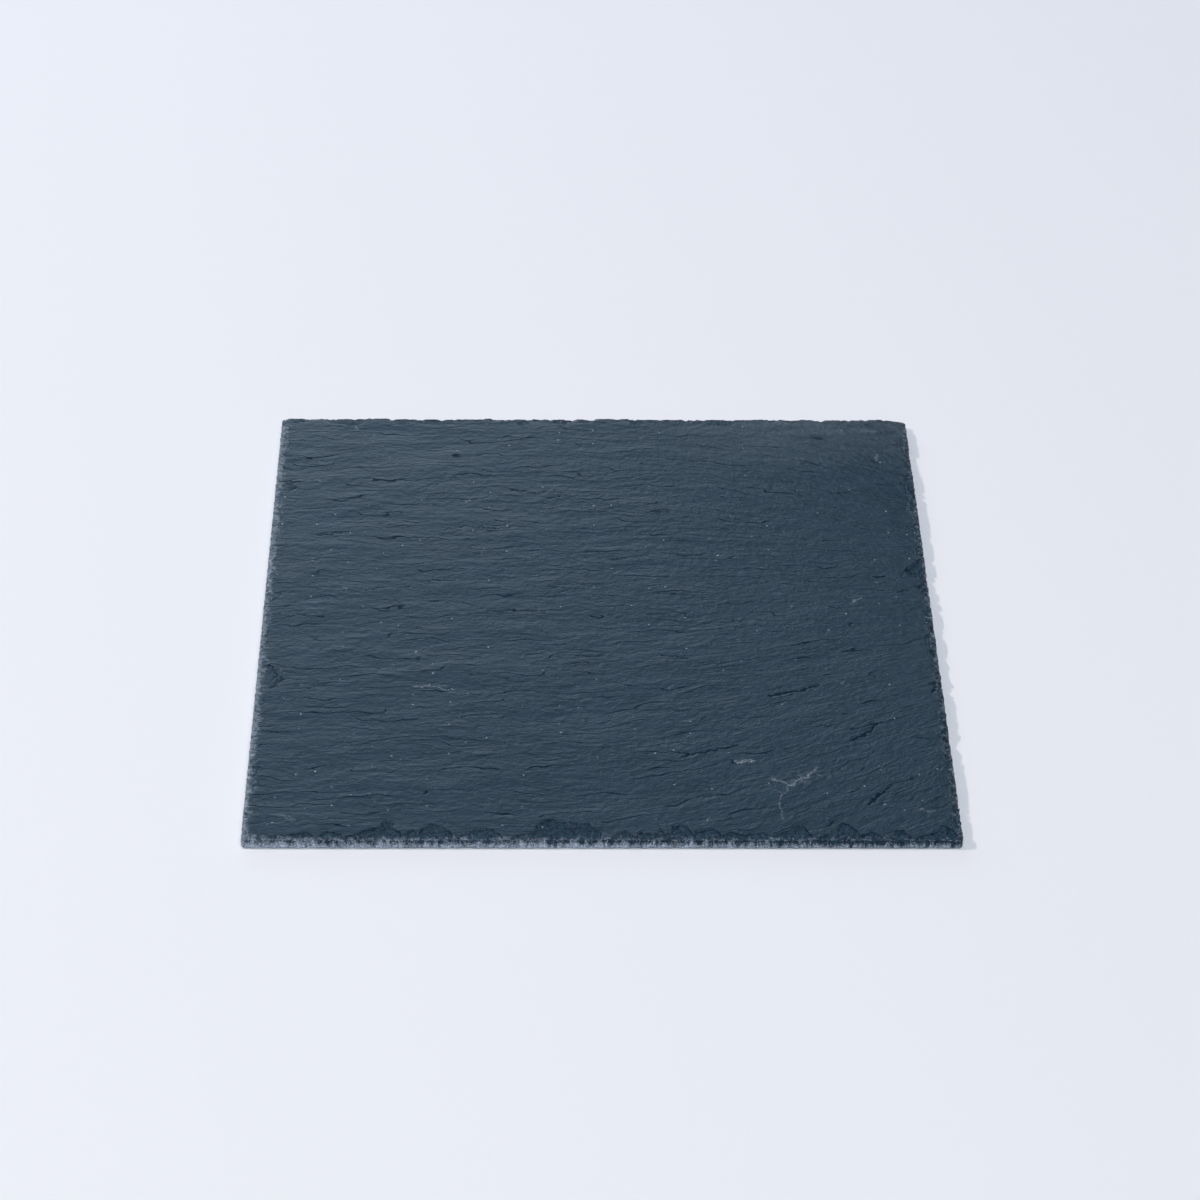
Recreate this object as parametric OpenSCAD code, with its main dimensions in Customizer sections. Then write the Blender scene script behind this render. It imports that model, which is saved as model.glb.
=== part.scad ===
// Square serving board split from slate. The two broad faces are riven, the four walls
// are cut straight down and the upper arris is dressed by hand into overlapping chips.
// Four thin foam feet are held to the underside by discs of adhesive.
// The origin is on the table plane under the middle of the board.
// X runs along the front edge, Y towards the back, Z up.

/* [Slab] */
// Length of each side of the slab
side_l = 300; // [240:5:360]
// Thickness of the slate from face to face
slab_t = 5; // [4:0.5:8]
// Rounding of the four plan corners
corner_r = 2; // [1:0.5:5]

/* [Riven faces] */
// Thickness of one cleft layer of the stone
layer_t = 0.25; // [0.1:0.05:0.4]

/* [Dressed edge] */
// Width along the edge of a full hammer chip
chip_w = 20; // [12:1:28]
// Reach of a full chip in from the wall
chip_reach = 10; // [4:0.5:12]
// Depth of a full chip where it leaves the wall
chip_depth = 1.5; // [0.8:0.1:2]
// Step down at the inner end of a chip, where a cleft layer snapped off
lip_t = 0.3; // [0.1:0.05:0.5]
// Width of the small chips between the blows
nibble_w = 8; // [6:0.5:12]
// Reach of the small chips in from the wall
nibble_reach = 3; // [1.5:0.25:4]
// Depth of the small chips
nibble_depth = 0.9; // [0.4:0.1:1.2]
// Small chips along each side
nibble_count = 34; // [20:1:44]

/* [Feet] */
// Diameter of a foot
foot_d = 14; // [8:1:24]
// Thickness of the foam of a foot
foot_t = 0.5; // [0.4:0.1:3]
// Diameter of the adhesive disc
adhesive_d = 13; // [7:1:23]
// Thickness of the adhesive disc
adhesive_t = 0.15; // [0.1:0.05:0.3]
// Distance of a foot's middle from both edges
foot_inset = 25; // [16:1:60]

/* [Hidden] */
$fn = 60;

half_l = side_l / 2;
under_z = foot_t + adhesive_t;
top_z = under_z + slab_t;
layer_count = 2;
face_z = top_z - layer_count * layer_t;
spall_t = layer_t;
overrun = layer_t;

// Outlines of the layer that snaps off behind a blow, across the chip's width and from
// the wall inwards, as shares of its width and reach: pointed, slanting, broad, double.
snap_shares = [
    [[-0.50, -0.12], [-0.45, 0.34], [-0.31, 0.60], [-0.13, 0.92], [0.05, 1.00], [0.23, 0.79],
     [0.35, 0.50], [0.46, 0.31], [0.50, -0.12]],
    [[-0.50, -0.12], [-0.46, 0.13], [-0.23, 0.37], [0.01, 0.64], [0.21, 0.97], [0.33, 0.91],
     [0.40, 0.56], [0.49, 0.29], [0.50, -0.12]],
    [[-0.50, -0.12], [-0.43, 0.49], [-0.28, 0.85], [-0.06, 0.91], [0.12, 1.00], [0.29, 0.87],
     [0.41, 0.58], [0.50, -0.12]],
    [[-0.50, -0.12], [-0.45, 0.54], [-0.31, 0.89], [-0.15, 0.77], [-0.03, 0.58], [0.11, 0.71],
     [0.26, 1.00], [0.40, 0.65], [0.50, -0.12]]
];
// Hammer chips of each side: middle along the side from its left end as seen from
// outside, then width, reach and depth as shares of a full chip, the outline that
// snapped off, and 1 or -1 as it leans to the right or left.
front_chip_shares = [
    [0.016, 0.50, 0.46, 0.80, 0, 1],
    [0.066, 1.15, 0.45, 0.70, 3, 1],
    [0.126, 0.64, 0.52, 0.80, 0, -1],
    [0.178, 1.30, 1.20, 0.60, 1, 1],
    [0.234, 0.50, 0.46, 0.90, 0, 1],
    [0.266, 0.86, 0.82, 0.94, 2, -1],
    [0.331, 1.00, 0.70, 1.00, 2, 1],
    [0.398, 0.84, 0.84, 0.90, 1, 1],
    [0.446, 1.60, 1.22, 1.00, 2, -1],
    [0.528, 0.50, 0.60, 0.90, 0, 1],
    [0.566, 0.66, 0.62, 0.90, 3, 1],
    [0.600, 0.80, 0.94, 0.94, 1, 1],
    [0.643, 0.66, 0.66, 0.86, 2, 1],
    [0.697, 1.10, 0.56, 1.00, 3, -1],
    [0.757, 1.00, 0.98, 0.84, 1, 1],
    [0.826, 0.92, 1.18, 0.80, 1, 1],
    [0.873, 0.66, 0.52, 0.90, 0, 1],
    [0.913, 0.50, 0.64, 0.90, 0, -1],
    [0.962, 0.90, 0.86, 1.06, 1, 1]
];
right_chip_shares = [
    [0.048, 0.84, 0.46, 0.80, 1, -1],
    [0.108, 0.70, 0.34, 0.70, 0, 1],
    [0.162, 0.86, 0.40, 0.80, 3, 1],
    [0.220, 0.56, 0.46, 0.80, 0, 1],
    [0.272, 0.94, 0.36, 0.70, 2, -1],
    [0.326, 0.60, 0.66, 0.86, 1, 1],
    [0.392, 0.84, 0.42, 0.74, 3, -1],
    [0.440, 0.62, 0.50, 0.80, 0, 1],
    [0.500, 0.90, 0.38, 0.70, 2, 1],
    [0.558, 0.52, 0.58, 0.80, 1, 1],
    [0.613, 0.86, 0.96, 0.70, 1, -1],
    [0.654, 0.56, 0.48, 0.80, 0, -1],
    [0.706, 0.90, 0.40, 0.74, 3, 1],
    [0.770, 0.74, 0.44, 0.80, 0, 1],
    [0.828, 0.94, 0.50, 0.76, 2, 1],
    [0.884, 0.74, 0.46, 0.80, 1, -1],
    [0.930, 0.84, 0.54, 0.90, 2, -1],
    [0.968, 0.96, 0.70, 1.00, 1, 1]
];
back_chip_shares = [
    [0.016, 0.70, 0.72, 1.00, 0, 1],
    [0.112, 1.20, 0.40, 0.96, 2, 1],
    [0.184, 0.44, 0.28, 0.56, 0, 1],
    [0.272, 0.96, 0.50, 1.20, 1, 1],
    [0.322, 1.10, 0.42, 1.00, 2, -1],
    [0.376, 0.74, 0.38, 0.84, 0, 1],
    [0.416, 0.94, 0.48, 1.16, 3, 1],
    [0.512, 0.44, 0.28, 0.66, 0, 1],
    [0.558, 0.62, 0.38, 0.84, 0, -1],
    [0.628, 0.62, 0.42, 0.90, 1, -1],
    [0.700, 0.74, 0.30, 0.64, 3, 1],
    [0.758, 1.45, 0.42, 0.86, 2, 1],
    [0.811, 0.50, 0.60, 1.24, 0, 1],
    [0.897, 1.05, 0.46, 0.84, 2, -1],
    [0.974, 0.90, 0.42, 1.00, 1, 1]
];
left_chip_shares = [
    [0.024, 0.84, 0.34, 0.80, 0, 1],
    [0.084, 0.90, 0.50, 0.70, 1, -1],
    [0.130, 0.66, 0.32, 0.66, 0, 1],
    [0.176, 0.62, 0.96, 0.90, 1, 1],
    [0.247, 0.40, 0.48, 0.90, 0, 1],
    [0.314, 0.84, 0.34, 0.80, 2, 1],
    [0.370, 0.66, 0.30, 0.70, 0, -1],
    [0.410, 0.84, 0.34, 0.76, 3, 1],
    [0.463, 0.66, 0.46, 0.80, 1, 1],
    [0.534, 0.90, 0.34, 0.80, 2, -1],
    [0.594, 0.60, 0.30, 0.70, 0, 1],
    [0.647, 0.96, 0.98, 0.84, 2, 1],
    [0.718, 0.84, 0.38, 0.80, 3, -1],
    [0.784, 0.74, 0.32, 0.80, 0, 1],
    [0.846, 0.90, 0.36, 0.74, 2, 1],
    [0.908, 0.62, 0.34, 0.84, 0, -1],
    [0.962, 0.90, 0.42, 0.90, 1, -1]
];
chip_shares = [front_chip_shares, right_chip_shares, back_chip_shares, left_chip_shares];

// How strongly the small chips bite on the front, right, back and left side.
nibble_side_shares = [1, 0.7, 0.3, 0.55];
// Corner blows: reach and length as shares of a full chip, for each corner in turn
// from the front left one round by the front right one.
corner_blow_shares = [[0.30, 0.70], [0.36, 0.80], [0.72, 0.90], [0.24, 0.60]];
// How far the shell-shaped hollow reaches into the layer that snapped off.
hollow_share = 0.84;

// Raised layers of the upper face, outlines as shares of half the side.
low_layer_shares = [
    [[-0.93, 0.10], [-0.82, 0.17], [-0.66, 0.15], [-0.52, 0.21], [-0.36, 0.19], [-0.21, 0.24],
     [-0.02, 0.21], [0.14, 0.25], [0.31, 0.22], [0.47, 0.27], [0.62, 0.25], [0.80, 0.33],
     [0.93, 0.35], [0.94, 0.61], [0.85, 0.74], [0.66, 0.79], [0.45, 0.76], [0.27, 0.84],
     [0.02, 0.82], [-0.22, 0.88], [-0.43, 0.85], [-0.61, 0.89], [-0.83, 0.87], [-0.93, 0.80]],
    [[-0.90, -0.21], [-0.74, -0.15], [-0.55, -0.18], [-0.37, -0.12], [-0.16, -0.14], [0.05, -0.08],
     [0.22, -0.11], [0.41, -0.03], [0.58, 0.00], [0.74, 0.08], [0.91, 0.15], [0.92, -0.04],
     [0.77, -0.13], [0.60, -0.22], [0.44, -0.27], [0.27, -0.37], [0.09, -0.41], [-0.12, -0.47],
     [-0.35, -0.44], [-0.56, -0.49], [-0.75, -0.45], [-0.91, -0.48]],
    [[-0.80, -0.63], [-0.58, -0.59], [-0.33, -0.62], [-0.10, -0.57], [0.11, -0.54], [0.29, -0.47],
     [0.48, -0.39], [0.64, -0.29], [0.86, -0.17], [0.90, -0.36], [0.79, -0.48], [0.71, -0.62],
     [0.58, -0.70], [0.47, -0.79], [0.24, -0.74], [0.03, -0.78], [-0.21, -0.75], [-0.47, -0.80],
     [-0.72, -0.77]]
];
high_layer_shares = [
    [[-0.88, 0.46], [-0.70, 0.52], [-0.56, 0.60], [-0.41, 0.72], [-0.56, 0.79], [-0.74, 0.76],
     [-0.86, 0.66]],
    [[-0.30, 0.36], [-0.08, 0.33], [0.12, 0.37], [0.38, 0.35], [0.57, 0.41], [0.76, 0.47],
     [0.60, 0.58], [0.36, 0.62], [0.14, 0.58], [-0.12, 0.63], [-0.26, 0.52]],
    [[-0.68, -0.27], [-0.44, -0.23], [-0.19, -0.25], [0.06, -0.20], [0.30, -0.17], [0.12, -0.28],
     [-0.13, -0.35], [-0.42, -0.34]],
    [[0.20, -0.62], [0.42, -0.53], [0.58, -0.44], [0.72, -0.37], [0.68, -0.49], [0.54, -0.60],
     [0.38, -0.68]]
];
// Hollows left by lifted layers of the underside, clear of the feet.
spall_shares = [
    [[-0.60, 0.20], [-0.31, 0.31], [-0.04, 0.27], [0.26, 0.36], [0.58, 0.32], [0.63, 0.50],
     [0.33, 0.60], [0.01, 0.54], [-0.29, 0.62], [-0.57, 0.49]],
    [[-0.57, -0.44], [-0.22, -0.36], [0.13, -0.40], [0.44, -0.31], [0.66, -0.26], [0.52, -0.12],
     [0.19, -0.08], [-0.16, -0.17], [-0.49, -0.12]]
];

// Seeded shares that vary the small chips along each side.
vary_seed = 417;
vary_shares = rands(0, 1, len(chip_shares) * nibble_count * len(["along", "wide", "reach", "deep"]), vary_seed);
vary_low_share = 0.7;
vary_gain_share = 0.6;
stray_share = 0.4;

function vary(side, i, kind) = vary_shares[(side * nibble_count + i) * len(chip_shares) + kind];
function varied(side, i, kind) = vary_low_share + vary_gain_share * vary(side, i, kind);

// Distance of the chip's sphere outside the wall, from half its width and its reach.
function chip_out(w, reach) = (w * w / 4 - reach * reach) / (2 * reach);
// Height of the sphere's middle over the face, from half its width and its depth.
function chip_up(w, depth) = (w * w / 4 - depth * depth) / (2 * depth);

// Shell-like fracture left by one blow: its middle on the wall line is the origin.
module chip(w, reach, depth) {
    out = chip_out(w, reach);
    up = chip_up(w, depth);
    translate([0, -out, up])
        sphere(sqrt(w * w / 4 + out * out + up * up));
}

// Outlines of the thin layer that breaks away behind the hollows, all four sides at once.
module snapped_outlines() {
    for (side = [0:len(chip_shares) - 1])
        rotate(side * 90)
            for (c = chip_shares[side])
                translate([c[0] * side_l - half_l, -half_l])
                    polygon([
                        for (s = snap_shares[c[4]])
                            [s[0] * c[5] * c[1] * chip_w, s[1] * c[2] * chip_reach]
                    ]);
}

module side_chips(side) {
    for (c = chip_shares[side])
        translate([c[0] * side_l - half_l, -half_l, face_z])
            chip(c[1] * chip_w, c[2] * chip_reach * hollow_share, c[3] * chip_depth);
    bite = nibble_side_shares[side];
    pitch = side_l / nibble_count;
    for (i = [0:nibble_count - 1])
        translate([
            (i + 1 / 2 + stray_share * (vary(side, i, 0) - 1 / 2)) * pitch - half_l,
            -half_l,
            face_z
        ])
            chip(
                nibble_w * varied(side, i, 1),
                nibble_reach * bite * varied(side, i, 2),
                nibble_depth * bite * varied(side, i, 3)
            );
}

module corner_blow(corner) {
    blow = corner_blow_shares[corner];
    translate([-half_l, -half_l, face_z])
        rotate(-45)
            chip(2 * blow[1] * chip_w, blow[0] * chip_reach + corner_r, chip_depth);
}

module outline(shares) {
    polygon([for (s = shares) s * half_l]);
}

module slab_plan() {
    inner = half_l - corner_r;
    for (x = [-1, 1])
        for (y = [-1, 1])
            translate([x * inner, y * inner])
                circle(corner_r);
    square([side_l, 2 * inner], center = true);
    square([2 * inner, side_l], center = true);
}

module raised_layer(shares, count) {
    translate([0, 0, face_z - overrun])
        linear_extrude(count * layer_t + overrun)
            outline(shares);
}

module slate_slab() {
    color("slategray")
        difference() {
            union() {
                translate([0, 0, under_z])
                    linear_extrude(face_z - under_z)
                        slab_plan();
                for (s = low_layer_shares)
                    raised_layer(s, 1);
                for (s = high_layer_shares)
                    raised_layer(s, layer_count);
            }
            for (side = [0:len(chip_shares) - 1])
                rotate(side * 90) {
                    side_chips(side);
                    corner_blow(side);
                }
            translate([0, 0, face_z - lip_t])
                linear_extrude(lip_t + layer_count * layer_t + overrun)
                    snapped_outlines();
            for (s = spall_shares)
                translate([0, 0, under_z - overrun])
                    linear_extrude(spall_t + overrun)
                        outline(s);
        }
}

module foot_place(x_side, y_side) {
    translate([x_side * (half_l - foot_inset), y_side * (half_l - foot_inset), 0])
        children();
}

module foam_foot(x_side, y_side) {
    color("black")
        foot_place(x_side, y_side)
            cylinder(h = foot_t, d = foot_d);
}

module adhesive_disc(x_side, y_side) {
    color("gainsboro")
        foot_place(x_side, y_side)
            translate([0, 0, foot_t])
                cylinder(h = adhesive_t, d = adhesive_d);
}

module foam_foot_front_left() { foam_foot(-1, -1); }
module foam_foot_front_right() { foam_foot(1, -1); }
module foam_foot_back_left() { foam_foot(-1, 1); }
module foam_foot_back_right() { foam_foot(1, 1); }
module adhesive_disc_front_left() { adhesive_disc(-1, -1); }
module adhesive_disc_front_right() { adhesive_disc(1, -1); }
module adhesive_disc_back_left() { adhesive_disc(-1, 1); }
module adhesive_disc_back_right() { adhesive_disc(1, 1); }

slate_slab();
foam_foot_front_left();
foam_foot_front_right();
foam_foot_back_left();
foam_foot_back_right();
adhesive_disc_front_left();
adhesive_disc_front_right();
adhesive_disc_back_left();
adhesive_disc_back_right();
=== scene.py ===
import math

import bpy
import numpy as np
from mathutils import Matrix, Vector
from mathutils.bvhtree import BVHTree
from mathutils.geometry import delaunay_2d_cdt


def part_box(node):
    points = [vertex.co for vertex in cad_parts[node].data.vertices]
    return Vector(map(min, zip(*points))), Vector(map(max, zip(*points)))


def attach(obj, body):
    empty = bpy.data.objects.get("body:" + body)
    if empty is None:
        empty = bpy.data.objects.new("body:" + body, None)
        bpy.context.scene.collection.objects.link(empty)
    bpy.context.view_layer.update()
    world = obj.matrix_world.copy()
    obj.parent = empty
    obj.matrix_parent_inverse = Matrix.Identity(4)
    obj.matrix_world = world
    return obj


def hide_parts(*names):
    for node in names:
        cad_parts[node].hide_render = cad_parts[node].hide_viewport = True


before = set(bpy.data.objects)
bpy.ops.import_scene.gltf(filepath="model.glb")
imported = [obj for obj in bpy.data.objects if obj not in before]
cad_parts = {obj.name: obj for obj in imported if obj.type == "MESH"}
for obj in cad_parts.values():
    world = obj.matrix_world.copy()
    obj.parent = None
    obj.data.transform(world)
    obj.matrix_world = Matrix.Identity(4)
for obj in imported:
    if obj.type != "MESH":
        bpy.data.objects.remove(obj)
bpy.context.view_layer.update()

scene = bpy.context.scene
scene.view_settings.view_transform = "Standard"
mm = 0.001

# Camera. The photo is taken with a long lens from in front of the board and a little to
# its left, looking 38 degrees down, so the far edge draws in only slightly.
camera_data = bpy.data.cameras.new("camera")
camera_data.sensor_width = 36
camera_data.lens = 105.08
camera_data.clip_start, camera_data.clip_end = 0.05, 20
camera = bpy.data.objects.new("camera", camera_data)
scene.collection.objects.link(camera)
scene.camera = camera
stand = (-0.02715, -1.22385, 0.98504)
pan, down, roll = math.radians(1.3037), math.radians(38.452), math.radians(0.8944)
look = Vector((math.sin(pan) * math.cos(down), math.cos(pan) * math.cos(down), -math.sin(down)))
level = Vector((math.cos(pan), -math.sin(pan), 0))
upward = level.cross(look)
film_right = math.cos(roll) * level + math.sin(roll) * upward
film_up = -math.sin(roll) * level + math.cos(roll) * upward
turn = Matrix((film_right, film_up, -look)).transposed()
camera.matrix_world = Matrix.Translation(stand) @ turn.to_4x4()

# Studio. A wide white sweep of paper carries the board and closes the view behind it. Its
# colour is painted a little darker towards the back right: painted shade where the light falls
# off.
paper_half = 6
paper_near, paper_far = (0.940, 0.924, 0.914, 1), (0.825, 0.811, 0.813, 1)
fall_direction, fall_from, fall_to = (0.35, 1, 0), -0.45, 0.65
floor_mesh = bpy.data.meshes.new("floor")
floor_mesh.from_pydata(
    [(a * paper_half, b * paper_half, 0) for a, b in ((-1, -1), (1, -1), (1, 1), (-1, 1))],
    [],
    [(0, 1, 2, 3)],
)
floor = bpy.data.objects.new("floor", floor_mesh)
scene.collection.objects.link(floor)
floor_paper = bpy.data.materials.new("floor_paper")
floor_paper.use_nodes = True
paper_tree = floor_paper.node_tree
paper = paper_tree.nodes["Principled BSDF"]
sheet_at = paper_tree.nodes.new("ShaderNodeTexCoord")
towards_back = paper_tree.nodes.new("ShaderNodeVectorMath")
towards_back.operation = "DOT_PRODUCT"
towards_back.inputs[1].default_value = fall_direction
falling = paper_tree.nodes.new("ShaderNodeMapRange")
falling.inputs["From Min"].default_value = fall_from
falling.inputs["From Max"].default_value = fall_to
# Painted shade: the paper's colour darkens towards the back right as the light falls off.
paper_painted_falloff = paper_tree.nodes.new("ShaderNodeMix")
paper_painted_falloff.data_type = "RGBA"
paper_painted_falloff.inputs[6].default_value = paper_near
paper_painted_falloff.inputs[7].default_value = paper_far
paper_tree.links.new(sheet_at.outputs["Object"], towards_back.inputs[0])
paper_tree.links.new(towards_back.outputs["Value"], falling.inputs["Value"])
paper_tree.links.new(falling.outputs[0], paper_painted_falloff.inputs[0])
paper_tree.links.new(paper_painted_falloff.outputs[2], paper.inputs["Base Color"])
paper.inputs["Roughness"].default_value = 0.9
paper.inputs["Specular IOR Level"].default_value = 0
floor_mesh.materials.append(floor_paper)

# Light. Most of it falls from a compact softbox high over the camera in a dim room. A small
# lamp half way up on the left casts the narrow, crisp shadow along the right side, and a white
# screen behind the far edge gives the stone its sheen.
softbox_direction = Vector((0.08, -0.42, 0.90)).normalized()
softbox_glow = ("SMOOTHSTEP", 0.93, 0.99, 0, 6.85)
room_glow = ("LINEAR", 0.1, 0.9, 0.02, 0.28)
daylight = (0.915, 0.985, 1.105, 1)
world = bpy.data.worlds.new("studio")
scene.world = world
world.use_nodes = True
sky = world.node_tree
room = sky.nodes["Background"]
direction = sky.nodes.new("ShaderNodeTexCoord")
towards = sky.nodes.new("ShaderNodeVectorMath")
towards.operation = "DOT_PRODUCT"
towards.inputs[1].default_value = softbox_direction
sky.links.new(direction.outputs["Generated"], towards.inputs[0])
both = sky.nodes.new("ShaderNodeMath")
for i, (smooth, *numbers) in enumerate((softbox_glow, room_glow)):
    glow = sky.nodes.new("ShaderNodeMapRange")
    glow.interpolation_type = smooth
    for name, number in zip(("From Min", "From Max", "To Min", "To Max"), numbers):
        glow.inputs[name].default_value = number
    sky.links.new(towards.outputs["Value"], glow.inputs["Value"])
    sky.links.new(glow.outputs[0], both.inputs[i])
sky.links.new(both.outputs[0], room.inputs["Strength"])
room.inputs["Color"].default_value = daylight
for name, spot, width, height, watts, tint in (
    ("lamp", (-3.9, 0.45, 3.45), 0.12, 0.12, 89, (1.05, 0.985, 0.975)),
    ("screen", (-1.0, 2.35, 1.0), 2.8, 1.25, 17.2, (0.84, 1.01, 1.20)),
):
    data = bpy.data.lights.new(name, "AREA")
    data.shape = "RECTANGLE"
    data.size, data.size_y = width, height
    data.energy = watts
    data.color = tint
    light = bpy.data.objects.new(name, data)
    scene.collection.objects.link(light)
    light.location = spot
    light.rotation_euler = (-light.location).to_track_quat("-Z", "Y").to_euler()

# Slate slab. One sheet split from the block along its grain, cut straight down on four
# sides and then struck along the upper edge, so that shell-shaped chips run round it.
# It is raw stone: nothing is painted or waxed, and dust from the cut whitens the walls.
slab_low, slab_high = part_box("slate_slab")
half_side = slab_high.x / mm
slab_bottom, slab_top = slab_low.z / mm, slab_high.z / mm
corner_round = 2.0
layer_step = 0.25
face_level = slab_top - 2 * layer_step
cad_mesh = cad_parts["slate_slab"].data
cad_solid = BVHTree.FromPolygons(
    [v.co.copy() for v in cad_mesh.vertices], [tuple(p.vertices) for p in cad_mesh.polygons]
)


def ripple(u, v, seed):
    """Smooth noise from -1 to 1 with one swell in each unit square."""
    table = np.random.default_rng(seed)
    turns = table.permutation(512)
    angles = table.uniform(0, 2 * math.pi, 512)
    iu, iv = np.floor(u).astype(int), np.floor(v).astype(int)
    fu, fv = u - iu, v - iv

    def corner(du, dv):
        a = angles[(turns[(iu + du) % 512] + (iv + dv) * 37) % 512]
        return np.cos(a) * (fu - du) + np.sin(a) * (fv - dv)

    su = fu * fu * fu * (fu * (fu * 6 - 15) + 10)
    sv = fv * fv * fv * (fv * (fv * 6 - 15) + 10)
    near = corner(0, 0) + (corner(1, 0) - corner(0, 0)) * su
    far = corner(0, 1) + (corner(1, 1) - corner(0, 1)) * su
    return 1.5 * (near + (far - near) * sv)


def swells(u, v, seed, octaves):
    """Large swells with smaller ones on them."""
    total = sum(ripple(u * 2**k, v * 2**k, seed + k) / 2**k for k in range(octaves))
    return total / 1.6


def terraces(t, riser):
    """Flat treads one unit apart with steep risers between them."""
    f = t - np.floor(t)
    return np.floor(t) + np.clip((f - 0.5) / riser + 0.5, 0, 1)


def rise(a, lowest, highest):
    """Soft climb from 0 to 1 between two values."""
    t = np.clip((a - lowest) / (highest - lowest), 0, 1)
    return t * t * (3 - 2 * t)


def grain(x, y):
    """Distance along and across the grain: its lines climb to the front right corner, fall
    away to the back right corner and dip a little on the left."""
    sweep = 0.55 * rise(-y, -45, 95)
    climb = np.maximum(x + 35, 0) ** 2 / 330
    fall = -0.05 * np.minimum(x + 40, 0) * rise(-y, -60, 60)
    fall = fall + 0.6 * rise(y, 10, 110) * np.maximum(x - 20, 0) ** 2 / 250
    return x + 0.3 * y * sweep, y - sweep * climb + fall


def height_over(solid, x, y):
    """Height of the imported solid's upper side at points of the plan."""
    found = []
    for a, b in zip(x, y):
        hit = solid.ray_cast(Vector((a * mm, b * mm, 0.05)), Vector((0, 0, -1)))[0]
        found.append(hit.z / mm if hit else slab_top)
    return np.array(found)


# Outline of the slab as seen from above, walked once round.
straight = half_side - corner_round
side_steps = 366
bend_steps = 5
run = np.linspace(-straight, straight, side_steps, endpoint=False)
arc = np.linspace(0, math.pi / 2, bend_steps + 1)[:-1]
outline = []
for quarter in range(4):
    side = np.stack([run, np.full(side_steps, -half_side)], 1)
    bend = np.stack(
        [straight + corner_round * np.sin(arc), -straight - corner_round * np.cos(arc)], 1
    )
    c, s = math.cos(quarter * math.pi / 2), math.sin(quarter * math.pi / 2)
    outline.append(np.concatenate([side, bend]) @ np.array([[c, s], [-s, c]]))
outline = np.concatenate(outline)
ahead, behind = np.roll(outline, -1, 0), np.roll(outline, 1, 0)
out_x, out_y = (ahead - behind)[:, 1], -(ahead - behind)[:, 0]
outward = np.stack([out_x, out_y], 1) / np.hypot(out_x, out_y)[:, None]
walked = np.cumsum(np.hypot(*(outline - behind).T))

# Marks of this very stone, each a broken line in plan mm with its width and strength: the lips
# of lifted leaves, darkened with painted shade, and the white scratches and bruises.
cracks = (
    (((-40.3, 92.1), (-28.5, 89.8), (-18.6, 92.1)), 0.9, 0.8),
    (((-21.5, 86.4), (-16.6, 86.4)), 0.8, 0.7),
    (((-70, 61.5), (-59.1, 64.4), (-44.3, 62.1)), 0.8, 0.6),
    (((-129.3, 57.1), (-116.4, 59.1)), 0.9, 0.8),
    (((-122.4, 82.8), (-107.6, 84.8)), 0.8, 0.6),
    (((-74.9, 24.1), (-66, 23.5)), 0.8, 0.7),
    (((-101.6, 17.6), (-84.8, 19.2)), 0.9, 0.7),
    (((-52.2, 0.8), (-36.4, 2.4), (-26.5, 1.8)), 0.9, 0.8),
    (((-18.6, 14.2), (-12.7, 16.6)), 0.8, 0.7),
    (((-9.7, -29.9), (5.1, -29.9)), 0.9, 0.7),
    (((27.9, -29.3), (39.7, -31.8)), 0.9, 0.8),
    (((34.8, -97.1), (44.7, -94.5), (58.5, -90.2)), 1.7, 1.0),
    (((74.3, -56.9), (90.2, -52.6), (96.1, -49.6)), 1.6, 1.0),
    (((89.2, -25.9), (98.1, -23.9)), 0.9, 0.7),
    (((107.9, -86.6), (114.9, -82.2), (118.8, -76.3)), 2.0, 1.0),
    (((111.9, -127.7), (120.8, -117.8)), 1.7, 1.0),
    (((-28.5, -121.8), (-18.6, -119.4)), 0.7, 0.4),
    (((-12.7, -120.2), (-6.7, -118.8)), 0.7, 0.3),
    (((46.7, -6.7), (64.5, -5.5)), 0.9, 0.7),
    (((-127.3, -52.6), (-118.4, -50.2)), 0.8, 0.7),
    (((-135.2, -0.2), (-122.4, -3.2)), 0.9, 0.7),
    (((-149, 99), (-138.4, 98.2)), 1.2, 1.0),
    (((-147, 6.7), (-141, 16.7)), 0.8, 0.5),
    (((-148, -37), (-140.5, -36)), 0.8, 0.6),
    (((148, 40.7), (138, 28.7)), 1.1, 0.9),
    (((146, 20.7), (135.3, 15.7)), 1.0, 0.8),
    (((147.6, -50.7), (143.6, -56)), 1.0, 0.8),
)
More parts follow.
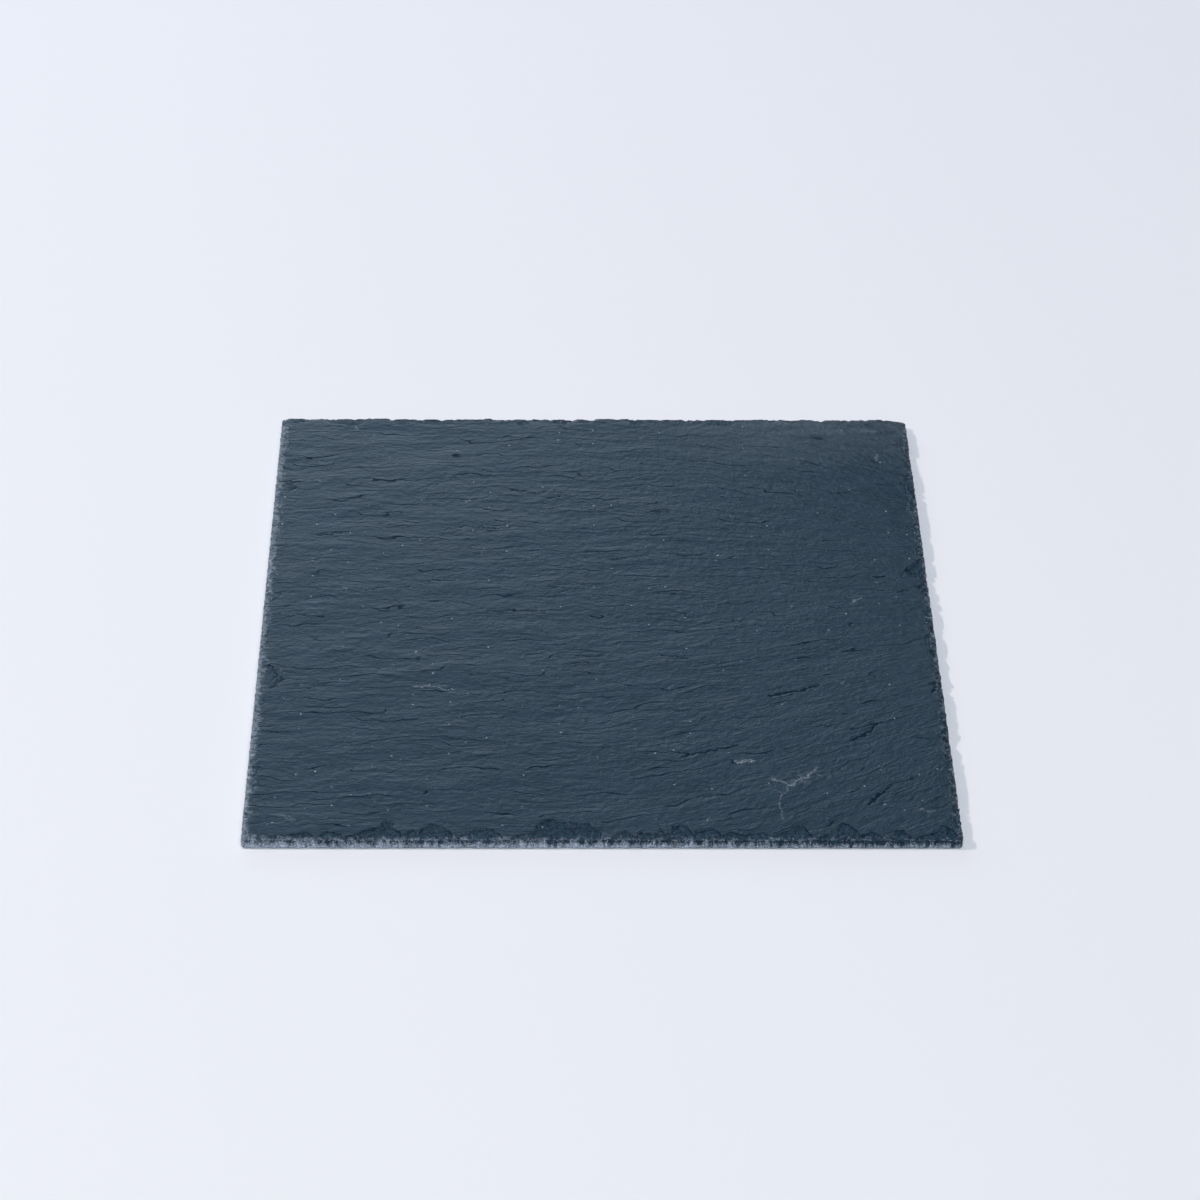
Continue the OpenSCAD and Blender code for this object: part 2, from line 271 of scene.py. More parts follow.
veins = (
    (((-80.9, -51.6), (-73.9, -49.8), (-68, -52.6), (-63.1, -53.6)), 1.1, 0.85),
    (((57.5, -101), (64.5, -100)), 2.2, 0.8),
    (((79.3, -115.9), (75.5, -113), (72.4, -111.9)), 1.2, 0.7),
    (((79.3, -115.9), (83, -112.5), (86.2, -110.9), (92.1, -104)), 1.7, 0.65),
    (((79.3, -115.9), (76.5, -121), (74.3, -125.7), (75.3, -137.6)), 1.2, 0.5),
    (((81, -113), (88, -114)), 2.8, 0.35),
    (((83.5, -107.5), (86, -117)), 0.8, 0.5),
    (((76.5, -108.5), (84, -106)), 0.8, 0.4),
    (((71, -118), (78, -121.5)), 0.8, 0.45),
    (((87.5, -107.5), (95.5, -110)), 0.8, 0.4),
    (((112.9, 7.7), (119.8, 12.7)), 1.0, 0.7),
    (((-60.1, 83.8), (-58.6, 84.4)), 0.7, 0.9),
    (((71.4, 57.1), (72.3, 56.8)), 0.6, 0.9),
    (((61.5, -18), (62.6, -17.6)), 0.8, 0.8),
    (((50.6, 54.6), (51.6, 55)), 0.6, 0.8),
    (((-114.5, 18.6), (-113.8, 17.4)), 0.7, 0.8),
    (((-66, 4.7), (-65, 4.9)), 0.6, 0.8),
    (((106, -48.6), (107.2, -48.2)), 0.8, 0.9),
    (((-4.7, 2.4), (-4, 2.6)), 0.6, 0.8),
    (((-105.6, -141.6), (-104.6, -141.2)), 0.9, 0.8),
    (((-95.7, -126.7), (-94.7, -126.4)), 0.7, 0.7),
    (((43.7, -138.6), (44.5, -136.6)), 0.9, 0.9),
    (((133.7, 121), (133.4, 116)), 1.0, 0.7),
    (((-114.5, 145), (-114.2, 141)), 1.0, 0.7),
    (((129, 140.6), (136.4, 139.8)), 1.6, 0.5),
    (((-40, 135.2), (-33, 135.4)), 1.4, 0.3),
    (((-138.8, -38), (-140.5, -45), (-147, -52)), 0.9, 0.4),
    (((133, -131.2), (140, -132)), 2.6, 0.45),
    (((-134.2, -134.6), (-129.3, -137.6)), 3.2, 0.4),
    (((25.9, 98.7), (23.9, 90.7), (21, 85.8)), 0.5, 0.45),
    (((-52.2, 48.2), (-52.8, 41.3)), 0.6, 0.6),
    (((141.5, 146.5), (147.2, 138.5)), 4.2, 0.34),
    (((-81.8, 89.8), (-68, 104.6)), 3.0, 0.16),
    (((9.1, 40.3), (17, 40.3)), 2.4, 0.14),
)


def line_distance(a, b, line):
    """Distance of points from a broken line."""
    nearest = np.full(np.shape(a), 1e9)
    for (x0, y0), (x1, y1) in zip(line, line[1:]):
        dx, dy = x1 - x0, y1 - y0
        t = np.clip(((a - x0) * dx + (b - y0) * dy) / (dx * dx + dy * dy), 0, 1)
        nearest = np.minimum(nearest, np.hypot(a - x0 - t * dx, b - y0 - t * dy))
    return nearest


def drawn(a, b, marks, breadth):
    """The strongest mark at each point, with uneven lines."""
    ua = a + 1.1 * ripple(a / 3.1, b / 3.1, 81) + 0.5 * ripple(a / 1.2, b / 1.2, 82)
    ub = b + 1.1 * ripple(a / 3.3, b / 3.3, 83) + 0.5 * ripple(a / 1.3, b / 1.3, 84)
    strongest = np.zeros(np.shape(a))
    for line, width, strength in marks:
        wide = width * breadth
        inside = rise(wide - line_distance(ua, ub, line), 0, wide)
        strongest = np.maximum(strongest, strength * inside)
    return strongest


def row_of(first, last, pitch, row):
    """Places along one row, every second row half a pitch further on."""
    return np.arange(first, last, pitch) + pitch / 2 * (row % 2)


# Points of the upper face: the ragged rim with two rings that follow it, then rows that lie
# close together over the chips and wider over the split face, and closest at the marks.
rng = np.random.default_rng(5)
first_row, rim_clear = 1.8, 1.7
front_band, side_band = 13.5, 6
front_rows, face_rows, front_to_face = 0.66, 0.92, 13.9
front_pitch, back_pitch, side_pitch, face_pitch = 0.62, 0.84, 0.85, 2.3
mark_pitch, mark_reach, mark_margin, mark_clear, mark_offset = 0.42, 2.2, 1.0, 1.2, 0.0137
scatter = 0.14
ragged = 0.26 + 0.30 * ripple(walked / 3.4, walked * 0, 31)
ragged = ragged + 0.26 * ripple(walked / 1.3, walked * 0, 32)
ragged = np.clip(ragged, 0.0, 1.0)
rim = outline - outward * ragged[:, None]
rings = [rim]
for inset, follow in ((0.5, 0.7), (1.15, 0.45)):
    rings.append(outline - outward * (inset + ragged * follow)[:, None])
rows = np.concatenate([
    np.arange(-half_side + first_row, -half_side + front_band, front_rows),
    np.arange(-half_side + front_to_face, half_side - rim_clear, face_rows),
])
dots = []
for row, b in enumerate(rows):
    if b < -half_side + front_band:
        a = row_of(-half_side + first_row, half_side - rim_clear, front_pitch, row)
    elif b > half_side - side_band:
        a = row_of(-half_side + first_row, half_side - rim_clear, back_pitch, row)
    else:
        a = row_of(-half_side + side_band, half_side - side_band, face_pitch, row)
        edge = np.arange(first_row, side_band, side_pitch)
        a = np.concatenate([-half_side + edge, a, half_side - edge])
    a = a[np.abs(a) < half_side - rim_clear]
    dots.append(np.stack([a, np.full(len(a), b)], 1))
dots = np.concatenate(dots)
dots += rng.uniform(-scatter, scatter, dots.shape)
marked = []
for line, width, strength in cracks + veins:
    ends = np.array(line)
    low_a, low_b = np.floor((ends.min(0) - width - mark_reach) / mark_pitch)
    high_a, high_b = np.ceil((ends.max(0) + width + mark_reach) / mark_pitch)
    a, b = np.meshgrid(np.arange(low_a, high_a), np.arange(low_b, high_b))
    near = line_distance(a * mark_pitch, b * mark_pitch, line) < width + mark_margin
    marked.append(np.column_stack([a[near], b[near]]))
    dots = dots[line_distance(*dots.T, line) > width + mark_clear]
marked = np.unique(np.concatenate(marked), axis=0) * mark_pitch
marked = marked[np.abs(marked).max(1) < half_side - rim_clear] + mark_offset
upper = np.concatenate(rings + [dots, marked])


def spanned(plan, edge_count):
    """Triangles over points of the plan, drawn out along the grain, inside the first ring."""
    along = np.array([0.6, 1.0])
    border = [list(range(edge_count))]
    made = delaunay_2d_cdt([Vector(p) for p in plan * along], [], border, 1, 1e-7)
    assert len(made[0]) == len(plan)
    return [tuple(f) for f in made[2]]


rim_count = len(rim)
upper_faces = spanned(upper, rim_count)

# Height of the upper face. The solid's own chips and layers come first, their outlines made
# ragged by looking them up at points pushed about a little.
x, y = upper.T
edge_near = half_side - np.maximum(np.abs(x), np.abs(y))
free = rise(edge_near, 0.5, 6)
edge_gap = 0.06
wx = free * (2.2 * ripple(x / 9, y / 9, 41) + 0.9 * ripple(x / 3, y / 3, 42))
wy = free * (2.2 * ripple(x / 11, y / 7, 43) + 0.9 * ripple(x / 3, y / 3, 44))
inner_x = np.clip(x + wx, -half_side + edge_gap, half_side - edge_gap)
inner_y = np.clip(y + wy, -half_side + edge_gap, half_side - edge_gap)
pull = np.maximum(np.abs(inner_x) - straight, 0), np.maximum(np.abs(inner_y) - straight, 0)
beyond = np.hypot(*pull)
inner_round = corner_round - edge_gap
keep = np.where(beyond > inner_round, inner_round / np.maximum(beyond, 1e-9), 1)
inner_x = np.sign(inner_x) * (np.minimum(np.abs(inner_x), straight) + pull[0] * keep)
inner_y = np.sign(inner_y) * (np.minimum(np.abs(inner_y), straight) + pull[1] * keep)
solid_z = height_over(cad_solid, inner_x, inner_y)
chip_deep = np.clip(face_level - solid_z, 0, None)
chipped = rise(chip_deep, 0.03, 0.25)
leftmost = rise(-x, 126, 138)
layers = 0.4 * np.clip(solid_z - face_level, 0, None)
shallower = 0.5 * leftmost
surface = np.where(chip_deep > 0, solid_z + shallower * chip_deep, face_level + layers)

# Then the split: broad plates, torn leaves and fine streaks, all drawn out along the grain.
plate_step, leaf_step, streak_height = 0.08, 0.05, 0.035
u, v = grain(x, y)
v = v + 1.3 * ripple(u / 26, v / 12, 1) + 0.35 * ripple(u / 8, v / 4, 2)
plates = terraces(4.0 * swells(u / 60, v / 15, 3, 3), 0.12)
leaves = terraces(3.0 * swells(u / 13, v / 5.5, 7, 2), 0.3)
streaks = ripple(u / 5.5, v / 2.6, 11) + 0.6 * ripple(u / 4.4, v / 1.8, 12)
calmer_left = 0.55 + 0.45 * rise(x, -90, 70)
fine = leaf_step * leaves + streak_height * streaks
split = plate_step * plates + calmer_left * fine
surface = surface + (1 - chipped) * split

# The chips step down through the layers and are gritty, and least so on the left.
flake = 0.16 * terraces(3 * swells(x / 5, y / 5, 15, 2) + chip_deep / 0.28, 0.25)
flake = flake - 0.57 * chip_deep
grit = 0.07 * ripple(x / 1.1, y / 1.1, 21)
surface = surface + chipped * (0.45 * flake + grit - 0.05) * (1 - 0.6 * leftmost)

# The marked cracks are open a little. Small bites are broken out of the rim, the deepest
# along the right side, and a flat facet is knocked off the back right corner.
crack_depth, facet_depth, deepest_bite = 0.26, 1.3, 1.2
cracked, veined = drawn(x, y, cracks, 0.65), drawn(x, y, veins, 0.75)
surface = surface - crack_depth * cracked
left, right, front, back = (rise(c, 140, 149) for c in (-x, x, -y, y))
bite = 1.0 * ripple(x / 8, y / 8, 33) + 0.7 * ripple(x / 3, y / 3, 34)
bite = bite + 0.4 * ripple(x / 1.3, y / 1.3, 35)
bite = np.clip(bite + 0.1 * right, 0, deepest_bite)
bitten = rise(1.0 + 2.2 * bite - edge_near, 0, 0.9 + 1.7 * bite)
bite = bite * (0.35 + 1.9 * right + 0.6 * back + 0.1 * left) * bitten
surface = surface - bite - facet_depth * rise(x + y, 289, 300)
surface = np.clip(surface, slab_bottom + 1.5, slab_top)

# Walls: the cut face, crushed and pitted, from the ragged rim down to the lower edge.
shares = (0.07, 0.28, 0.52, 0.76, 1.0)
deepest_pit, foot_inset = 0.45, 0.05
points = [np.column_stack([upper, surface])]
rim_z = surface[:rim_count]
wall_rings = [np.arange(rim_count)]
made_points = len(upper)
foot_z = 0.03 + 0.12 * ripple(walked / 2.4, walked * 0, 51)
foot_z = slab_bottom + np.clip(foot_z, 0, 0.3)
for share in shares:
    z = rim_z + (foot_z - rim_z) * share
    pit = 0.10 + 0.13 * ripple(walked / 1.5, z / 1.6, 52)
    pit = pit + 0.09 * ripple(walked / 4.0, z / 5.0, 53)
    pit = np.clip(pit, 0, deepest_pit)
    inset = ragged * (1 - share) ** 2 + pit * (1 - (1 - share) ** 3)
    if share == shares[-1]:
        inset = inset + foot_inset
    ring = outline - outward * inset[:, None]
    points.append(np.column_stack([ring, z]))
    wall_rings.append(np.arange(made_points, made_points + rim_count))
    made_points += rim_count
wall_faces = []
for upper_ring, lower_ring in zip(wall_rings, wall_rings[1:]):
    for i in range(rim_count):
        j = (i + 1) % rim_count
        wall_faces.append((upper_ring[i], lower_ring[i], lower_ring[j], upper_ring[j]))

# Dust of the crushed edge, below zero where there is none. On the upper face it fades away
# from the rim, soonest at the back, and reaches furthest in on the left.
patchy = ripple(x / 5.5, y / 5.5, 71) + 0.6 * ripple(x / 2.2, y / 2.2, 72)
at_rim = 0.34 + 0.40 * left + 0.13 * right - 0.30 * back
at_rim = at_rim + front * (0.16 - 0.0016 * np.maximum(x, -70))
reach_in = 2.6 + 0.9 * patchy + (3.6 + 1.5 * patchy) * left + 0.8 * front + 1.4 * right
dust_top = at_rim - 1.1 * at_rim * edge_near / np.maximum(reach_in, 0.8)
dust_top = np.maximum(dust_top, -0.6)

# On the walls it lies thick at the foot and is broken up towards the rim. Along the front
# there is most of it on the left and least on the right.
uneven = 0.22 * ripple(walked / 7, walked * 0, 73)
uneven = uneven + 0.16 * ripple(walked / 2.6, walked * 0, 74)
dust_wall = []
for share, ring in zip(shares, points[1:]):
    a = ring[:, 0]
    thick = 0.12 - 0.15 * rise(a, 30, 130) + 0.0021 * np.maximum(-30 - a, 0)
    thick = thick + 0.25 * rise(-a, 146, 149) + 0.12 * rise(a, 146, 149)
    thick = thick + 0.12 * rise(-np.abs(a + 25), -60, -10)
    dust_wall.append(np.clip(thick - 0.02 + 0.82 * share + uneven, -0.3, 1.05))
dust_wall = np.concatenate(dust_wall)

# Underside: the opposite split face, hollowed here and there, flat where the feet stick.
lower_clear, lower_end, lower_rows, lower_pitch, lower_scatter = 1.6, 1.5, 2.1, 2.6, 0.35
foot_inset_from_side, foot_flat, foot_free = 25, 8.5, 13
lower_rim = points[-1][:, :2]
spots = []
for row, b in enumerate(np.arange(-half_side + lower_clear, half_side - lower_end, lower_rows)):
    a = row_of(-half_side + lower_clear, half_side - lower_end, lower_pitch, row)
    a = a[a < half_side - lower_end]
    spots.append(np.stack([a, np.full(len(a), b)], 1))
spots = np.concatenate(spots)
spots += rng.uniform(-lower_scatter, lower_scatter, spots.shape)
remap = np.concatenate([wall_rings[-1], np.arange(made_points, made_points + len(spots))])
lower_faces = [
    tuple(int(remap[i]) for i in reversed(f))
    for f in spanned(np.concatenate([lower_rim, spots]), rim_count)
]
xl, yl = spots.T
ul, vl = grain(-xl, yl)
vl = vl + 1.8 * ripple(ul / 30, vl / 14, 61)
hollow = 0.09 * terraces(3 * swells(ul / 60, vl / 18, 62, 3), 0.25)
hollow = hollow + 0.07 * ripple(ul / 14, vl / 5, 66)
hollow = np.clip(hollow + 0.12, 0.0, 0.6)
foot_middle = half_side - foot_inset_from_side
foot_near = np.hypot(np.abs(xl) - foot_middle, np.abs(yl) - foot_middle)
hollow = hollow * rise(foot_near, foot_flat, foot_free)
points.append(np.column_stack([spots, slab_bottom + hollow]))

# The whole stone as one mesh, smooth over the faces and the crumbled rim, sharp at the foot.
points = np.concatenate(points)
slate_mesh = bpy.data.meshes.new("riven_slate")
slate_mesh.from_pydata((points * mm).tolist(), [], upper_faces + wall_faces + lower_faces)
slate_mesh.validate()
slate_mesh.update()
slate_mesh.polygons.foreach_set("use_smooth", np.ones(len(slate_mesh.polygons), bool))
slate_mesh.set_sharp_from_angle(angle=math.radians(50))
for edge in slate_mesh.edges:
    if max(edge.vertices) < rim_count:
        edge.use_edge_sharp = False
ug, vg = grain(points[:, 0], points[:, 1])
along_grain = slate_mesh.attributes.new("grain", "FLOAT_VECTOR", "POINT")
along_grain.data.foreach_set("vector", np.column_stack([ug, vg, points[:, 2]]).ravel())

# What the material has to know at each point: the marks, where the stone is struck rather
# than split, how near a side it lies, what stands upright, and the dust.
below = np.zeros(len(points) - len(upper))
edgewise = rise(22 - edge_near, 0, 8) * (1 - 0.8 * left) * (1 - 0.4 * back)
crumbly = 0.55 * ripple(x / 2.6, y / 2.6, 36) + 0.4 * ripple(x / 1.2, y / 1.2, 37)
crumbly = rise(crumbly + 0.35 - edge_near / 6, 0, 0.3) * right
struck = np.maximum(np.maximum(chipped, rise(bite, 0.4, 1.4)), crumbly)
crushed = np.concatenate([np.ones(rim_count * len(shares)), np.zeros(len(spots))])
attributes = {
    "cracked": np.concatenate([cracked, below]),
    "veined": np.concatenate([veined, below]),
    "dressed": np.concatenate([struck, crushed]),
    "sided": np.concatenate([edgewise, np.ones(len(below))]),
    "upright": np.concatenate([np.zeros(len(upper)), crushed]),
    "dust": np.concatenate([dust_top, dust_wall, np.full(len(spots), -0.6)]),
}
for name, values in attributes.items():
    layer = slate_mesh.attributes.new(name, "FLOAT", "POINT")
    layer.data.foreach_set("value", values)
slate = bpy.data.objects.new("slate_slab_stone", slate_mesh)
scene.collection.objects.link(slate)

slate_stone = bpy.data.materials.new("slate_stone")
slate_stone.use_nodes = True
tree = slate_stone.node_tree
stone = tree.nodes["Principled BSDF"]


def node(kind, **inputs):
    made = tree.nodes.new(kind)
    for name, value in inputs.items():
        made.inputs[name.replace("_", " ")].default_value = value
    return made


def attribute(name, output="Fac"):
    made = tree.nodes.new("ShaderNodeAttribute")
    made.attribute_name = name
    return made.outputs[output]


def parted(source, kind):
    """The single numbers of a vector (XYZ) or a colour (Color)."""
    made = tree.nodes.new("ShaderNodeSeparate" + kind)
    tree.links.new(source, made.inputs[0])
    return made.outputs


def stretched(source, scale):
    made = tree.nodes.new("ShaderNodeMapping")
    made.inputs["Scale"].default_value = scale
    tree.links.new(source, made.inputs["Vector"])
    return made.outputs[0]


def cloud(source, scale, detail, rough=0.6, warp=0.0):
    made = node(
        "ShaderNodeTexNoise", Scale=scale, Detail=detail, Roughness=rough, Distortion=warp
    )
    tree.links.new(source, made.inputs["Vector"])
    return made.outputs["Fac"]


def sums(kind, *values):
    made = tree.nodes.new("ShaderNodeMath")
    made.operation = kind
    for i, value in enumerate(values):
        if isinstance(value, (int, float)):
            made.inputs[i].default_value = value
        else:
            tree.links.new(value, made.inputs[i])
    return made.outputs[0]


def times(first, *others):
    for other in others:
        first = sums("MULTIPLY", first, other)
    return first


def most(first, *others):
    for other in others:
        first = sums("MAXIMUM", first, other)
    return first


def added(value, share, ground):
    """A share of a value put on top of a ground."""
    return sums("MULTIPLY_ADD", value, share, ground)


def ranged(value, low, high, to_low=0.0, to_high=1.0):
    made = tree.nodes.new("ShaderNodeMapRange")
    names = ("From Min", "From Max", "To Min", "To Max")
    for name, number in zip(names, (low, high, to_low, to_high)):
        made.inputs[name].default_value = number
    tree.links.new(value, made.inputs["Value"])
    return made.outputs[0]


def blended(share, a, b):
    made = tree.nodes.new("ShaderNodeMix")
    made.data_type = "RGBA"
    tree.links.new(share, made.inputs[0])
    for i, colour in ((6, a), (7, b)):
        if isinstance(colour, tuple):
            made.inputs[i].default_value = (*colour, 1)
        else:
            tree.links.new(colour, made.inputs[i])
    return made.outputs[2]


def shifted(source, amount, scale, detail):
    """A coordinate pushed about by uneven noise, so that lines drawn from it are uneven."""
    push = node("ShaderNodeTexNoise", Scale=scale, Detail=detail, Roughness=0.66)
    tree.links.new(place, push.inputs["Vector"])
    moved = tree.nodes.new("ShaderNodeVectorMath")
    moved.operation = "MULTIPLY_ADD"
    moved.inputs[1].default_value = amount
    tree.links.new(push.outputs["Color"], moved.inputs[0])
    tree.links.new(source, moved.inputs[2])
    return moved.outputs[0]


def shingled(source, pitch, sway, along, across, riser):
    """Leaves that overlap towards the back, a slow fall and then a short steep rise, with a
    mask of the crevice at the foot of each rise, where shade is painted."""
    drift = cloud(stretched(source, (along, across, 0)), 1.0, 2, 0.5)
    climb = added(parted(source, "XYZ")["Y"], 1 / pitch, times(drift, sway))
    part = sums("FRACT", climb)
    painted_shade = ranged(part, riser * 0.8, riser * 0.3)
    return sums("MINIMUM", times(part, 1 / riser), added(part, -1, 1)), painted_shade


def sprinkled(source, dimensions, scale, outer, inner, rare, sure):
    """Small round dots in some of the cells of an even scatter."""
    cells = node("ShaderNodeTexVoronoi", Scale=scale, Randomness=1.0)
    cells.voronoi_dimensions = dimensions
    tree.links.new(source, cells.inputs["Vector"])
    chosen = parted(cells.outputs["Color"], "Color")[0]
    return times(ranged(cells.outputs["Distance"], outer, inner), ranged(chosen, rare, sure))


grain_at = attribute("grain", "Vector")
place = tree.nodes.new("ShaderNodeTexCoord").outputs["Object"]
place_x, place_y, _ = parted(place, "XYZ")
upright_at = attribute("upright")
struck_at = attribute("dressed")
sided_at = attribute("sided")
chips_at = times(struck_at, sided_at)
mottle = cloud(stretched(place, (18, 26, 18)), 1.0, 3)
threads = cloud(stretched(grain_at, (0.10, 0.55, 0.3)), 1.0, 6, 0.62, 0.4)
crumbs = cloud(place, 560, 6, 0.8)

# Relief too fine for the mesh, in mm: swells, overlapping leaves of two sizes, and the
# crumpled skin of the chips. The split face is calmer on the left.
sheet_height, scale_height, swell_height, crumple_height = 0.18, 0.045, 0.60, 1.15
torn = shifted(grain_at, (3, 2.6, 0), 380, 4)
patches = ranged(cloud(stretched(torn, (0.035, 0.20, 0)), 1.0, 2, 0.5), 0.45, 0.60)
bent = shifted(grain_at, (2.4, 1.5, 0), 300, 4)
sheets, sheet_crevice_shade = shingled(bent, 4.6, 4, 0.032, 0.075, 0.16)
scales, scale_crevice_shade = shingled(torn, 1.9, 4, 0.12, 0.18, 0.3)
swell = cloud(stretched(torn, (0.30, 0.42, 0)), 1.0, 3, 0.56)
relief = added(scales, scale_height, times(sheets, patches, sheet_height))
relief = added(swell, swell_height, relief)
relief = times(relief, ranged(place_x, -0.10, 0.12, 0.50, 0.88))
crumple = cloud(place, 420, 5, 0.62)
relief = added(times(crumple, chips_at), crumple_height, relief)
bump = node("ShaderNodeBump", Strength=1.0, Distance=0.001)
tree.links.new(relief, bump.inputs["Height"])
tree.links.new(bump.outputs[0], stone.inputs["Normal"])

# Colour of the stone: mottled and threaded blue grey on the face and uneven in the chips. The
# crevices, the cracks and the lips of the chips are painted nearly black: painted shade.
thread_colour, painted_shade_colour = (0.023, 0.047, 0.068), (0.003, 0.013, 0.026)
face_dark = blended(ranged(mottle, 0.3, 0.7), (0.009, 0.027, 0.043), (0.015, 0.036, 0.054))
face_colour = blended(ranged(threads, 0.36, 0.66), face_dark, thread_colour)
chip_colour = blended(
    ranged(crumbs, 0.42, 0.65), (0.002, 0.015, 0.027), (0.027, 0.064, 0.096)
)
colour = blended(chips_at, face_colour, chip_colour)
# Painted shade: the lips of the chips, the cracks and the crevices of the leaves are darkened
# in colour as if in shadow.
lip = times(struck_at, sums("SUBTRACT", 1.0, struck_at))
painted_shade = most(
    times(sheet_crevice_shade, patches),
    times(scale_crevice_shade, 0.3),
    ranged(attribute("cracked"), 0.20, 0.60, 0, 0.95),
    times(ranged(lip, 0.08, 0.2, 0, 0.5), sided_at),
)
colour = blended(painted_shade, colour, painted_shade_colour)

# White scratches, bruises and two sizes of specks, and painted sheen over the back right
# corner.
bruise_colour, painted_sheen_colour = (0.40, 0.45, 0.48), (0.10, 0.125, 0.15)
chalk = cloud(place, 2000, 3, 0.8)
scratches = times(ranged(attribute("veined"), 0.12, 0.9), ranged(chalk, 0.47, 0.58))
uneven_place = shifted(place, (0.0016, 0.0010, 0), 900, 2)
specks = sprinkled(uneven_place, "2D", 125, 0.055, 0.03, 0.84, 0.96)
faint_specks = sprinkled(place, "3D", 330, 0.10, 0.05, 0.72, 0.98)
white = most(scratches, times(specks, 0.8), times(faint_specks, 0.5))
colour = blended(white, colour, bruise_colour)
# Painted sheen: streaks of paler colour that lighten the back right corner as if the sheen lay
# there.
sheen_wisps = ranged(cloud(stretched(place, (40, 190, 0)), 1.0, 5, 0.7), 0.38, 0.66, 0.10, 0.50)
painted_sheen = times(ranged(place_x, 0.01, 0.09), ranged(place_y, 0.106, 0.142), sheen_wisps)
colour = blended(painted_sheen, colour, painted_sheen_colour)

# Pale dust where the edge was crushed, streaked down the walls, grainy and never even.
crush_share, grain_share = 2.3, 1.4
crush = cloud(stretched(place, (480, 480, 150)), 1.0, 4, 0.64)
grains = cloud(place, 1700, 2, 0.6)
powder = cloud(place, 900, 4, 0.75)
dusty = added(sums("SUBTRACT", crush, 0.5), crush_share, attribute("dust"))
dusty = added(sums("SUBTRACT", grains, 0.5), grain_share, dusty)
dusty = ranged(dusty, 0.24, 1.06)
dust_pale = blended(upright_at, (0.46, 0.51, 0.57), (0.71, 0.81, 0.93))
dust_colour = blended(ranged(powder, 0.32, 0.68), (0.100, 0.130, 0.167), dust_pale)
colour = blended(dusty, colour, dust_colour)
tree.links.new(colour, stone.inputs["Base Color"])

# The split face has a faint sheen. Chips, crevices, walls, scratches and dust are matt.
face_rough = ranged(threads, 0.3, 0.7, 0.375, 0.345)
rough = most(face_rough, times(most(dusty, times(chips_at, 0.42)), 0.9))
tree.links.new(rough, stone.inputs["Roughness"])
matt = most(painted_shade, upright_at, dusty, white, times(chips_at, 0.7))
tree.links.new(added(matt, -0.5, 0.6), stone.inputs["Specular IOR Level"])
slate_mesh.materials.append(slate_stone)
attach(slate, "root")
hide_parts("slate_slab")

# Foam feet. Four black discs die-cut from closed-cell foam sheet: the side is a little
# hollow and uneven from the punch, and the skin of the foam shows its small open pores.
foam = bpy.data.materials.new("foot_foam")
foam.use_nodes = True
tree = foam.node_tree
skin = tree.nodes["Principled BSDF"]
place = tree.nodes.new("ShaderNodeTexCoord").outputs["Object"]
cells = node("ShaderNodeTexVoronoi", Scale=2400, Randomness=1.0)
tree.links.new(place, cells.inputs["Vector"])
pores = ranged(cells.outputs["Distance"], 0.12, 0.42)
shading = cloud(place, 300, 4)
foam_colour = blended(
    ranged(shading, 0.35, 0.65), (0.012, 0.013, 0.014), (0.026, 0.027, 0.029)
)
# Painted shade: the open pores are darkened to near black, as if in shadow, over the foam's own
# colour.
tree.links.new(blended(pores, (0.004, 0.004, 0.005), foam_colour), skin.inputs["Base Color"])
tree.links.new(ranged(shading, 0.3, 0.7, 0.72, 0.88), skin.inputs["Roughness"])
skin.inputs["Specular IOR Level"].default_value = 0.3
dimples = node("ShaderNodeBump", Strength=0.8, Distance=0.0001)
tree.links.new(pores, dimples.inputs["Height"])
tree.links.new(dimples.outputs[0], skin.inputs["Normal"])


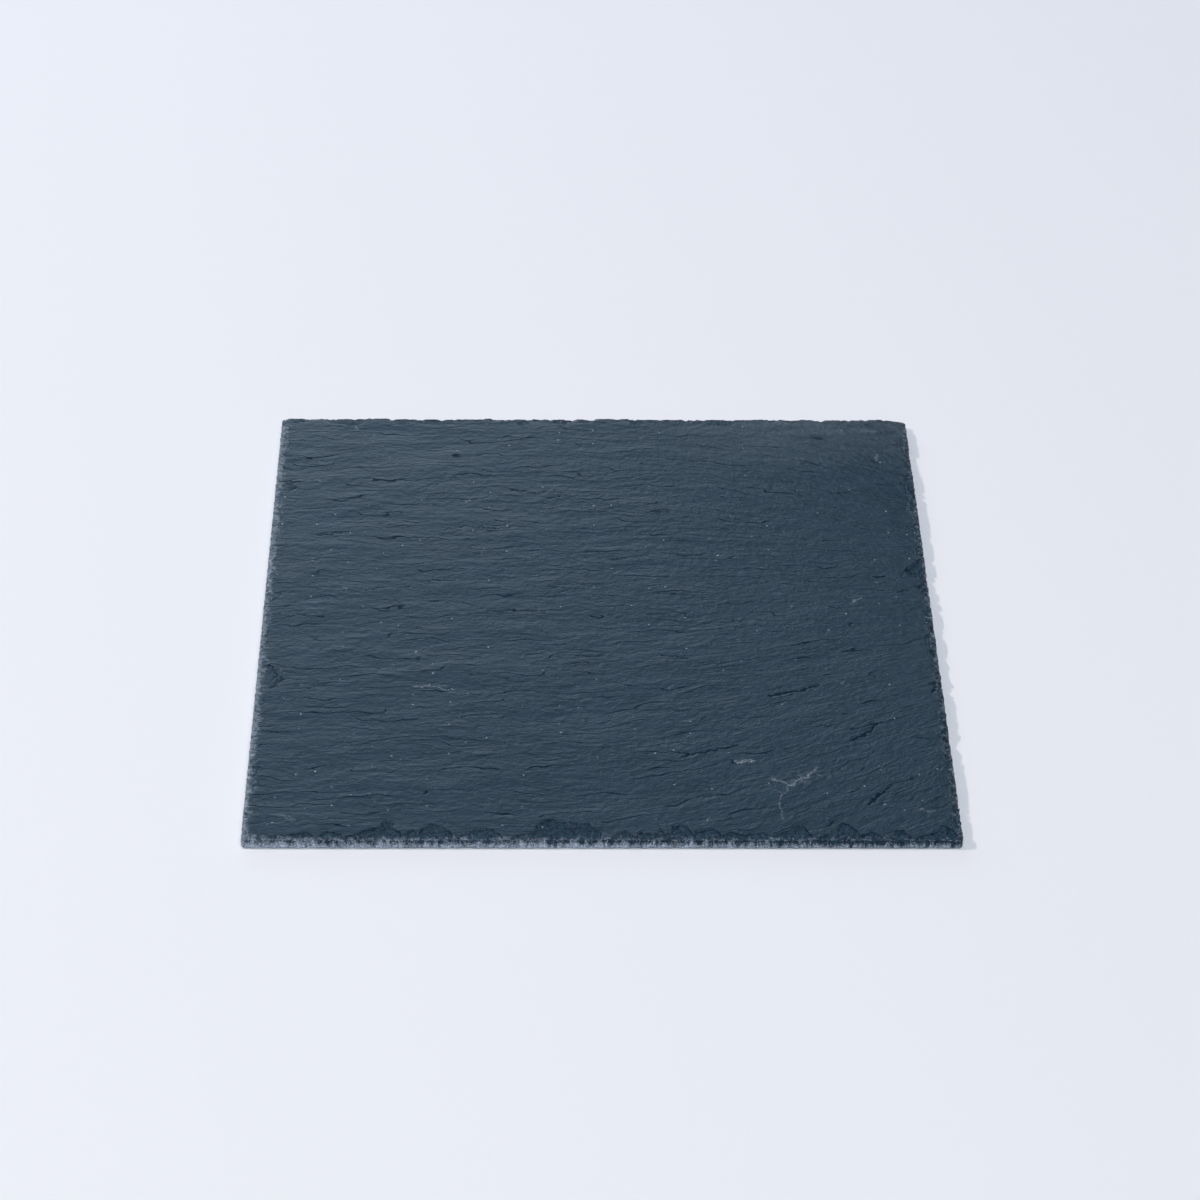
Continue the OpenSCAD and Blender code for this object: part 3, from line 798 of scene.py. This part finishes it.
def pressed_disc(name, low, high, rings, seed, uneven):
    """A thin disc from rings of (share of radius, share of height), its edge uneven."""
    middle = (low + high) / 2
    radius, tall = (high.x - low.x) / 2, high.z - low.z
    turns = 96
    angle = np.linspace(0, 2 * math.pi, turns, endpoint=False)
    places, faces = [], []
    for k, (out, up) in enumerate(rings):
        ring_shift = 2.3 * k * (up > 0.3)
        wobble = 0.5 + 0.5 * ripple(angle * 7 / math.pi, angle * 0 + ring_shift, seed)
        reach = radius * (out - uneven * wobble * out**6)
        ring_x = middle.x + reach * np.cos(angle)
        ring_y = middle.y + reach * np.sin(angle)
        places.append(np.column_stack([ring_x, ring_y, np.full(turns, low.z + tall * up)]))
    for k in range(len(rings) - 1):
        for i in range(turns):
            j = (i + 1) % turns
            a, b = k * turns, (k + 1) * turns
            faces.append((a + i, a + j, b + j, b + i))
    places = np.concatenate(places)
    bottom, top = len(places), len(places) + 1
    places = np.vstack([places, [middle.x, middle.y, low.z], [middle.x, middle.y, high.z]])
    last = (len(rings) - 1) * turns
    for i in range(turns):
        j = (i + 1) % turns
        faces.append((bottom, j, i))
        faces.append((top, last + i, last + j))
    mesh = bpy.data.meshes.new(name)
    mesh.from_pydata(places.tolist(), [], faces)
    mesh.update()
    mesh.polygons.foreach_set("use_smooth", np.ones(len(mesh.polygons), bool))
    mesh.set_sharp_from_angle(angle=math.radians(40))
    piece = bpy.data.objects.new(name, mesh)
    scene.collection.objects.link(piece)
    return piece


foot_rings = (
    (0.35, 0), (0.7, 0), (0.94, 0), (0.975, 0.03), (0.99, 0.10), (0.984, 0.3),
    (0.978, 0.5), (0.984, 0.7), (0.995, 0.88), (1.0, 0.96), (0.99, 1.0), (0.7, 1), (0.35, 1),
)
punch_unevenness = 0.012
corners = ("front_left", "front_right", "back_left", "back_right")
for seed, corner in enumerate(corners):
    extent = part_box("foam_foot_" + corner)
    foot = pressed_disc("foot_" + corner, *extent, foot_rings, 80 + seed, punch_unevenness)
    foot.data.materials.append(foam)
    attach(foot, "root")
    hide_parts("foam_foot_" + corner)

# Adhesive discs. A clear, slightly milky film between each foot and the stone, pressed out
# thin, so that its rim stands unevenly and a little rounded just inside the foam.
adhesive = bpy.data.materials.new("adhesive_film")
adhesive.use_nodes = True
tree = adhesive.node_tree
film = tree.nodes["Principled BSDF"]
place = tree.nodes.new("ShaderNodeTexCoord").outputs["Object"]
haze = cloud(place, 900, 4)
milk = blended(ranged(haze, 0.35, 0.65), (0.52, 0.51, 0.46), (0.66, 0.66, 0.62))
tree.links.new(milk, film.inputs["Base Color"])
tree.links.new(ranged(haze, 0.3, 0.7, 0.22, 0.40), film.inputs["Roughness"])
strings = node("ShaderNodeBump", Strength=0.4, Distance=0.00005)
tree.links.new(haze, strings.inputs["Height"])
tree.links.new(strings.outputs[0], film.inputs["Normal"])
film_rings = (
    (0.4, 0), (0.8, 0), (0.97, 0), (0.99, 0.2), (1.0, 0.5), (0.99, 0.8), (0.97, 1),
    (0.8, 1), (0.4, 1),
)
squeeze_unevenness = 0.02
for seed, corner in enumerate(corners):
    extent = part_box("adhesive_disc_" + corner)
    glue = pressed_disc(
        "adhesive_" + corner, *extent, film_rings, 90 + seed, squeeze_unevenness
    )
    glue.data.materials.append(adhesive)
    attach(glue, "root")
    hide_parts("adhesive_disc_" + corner)
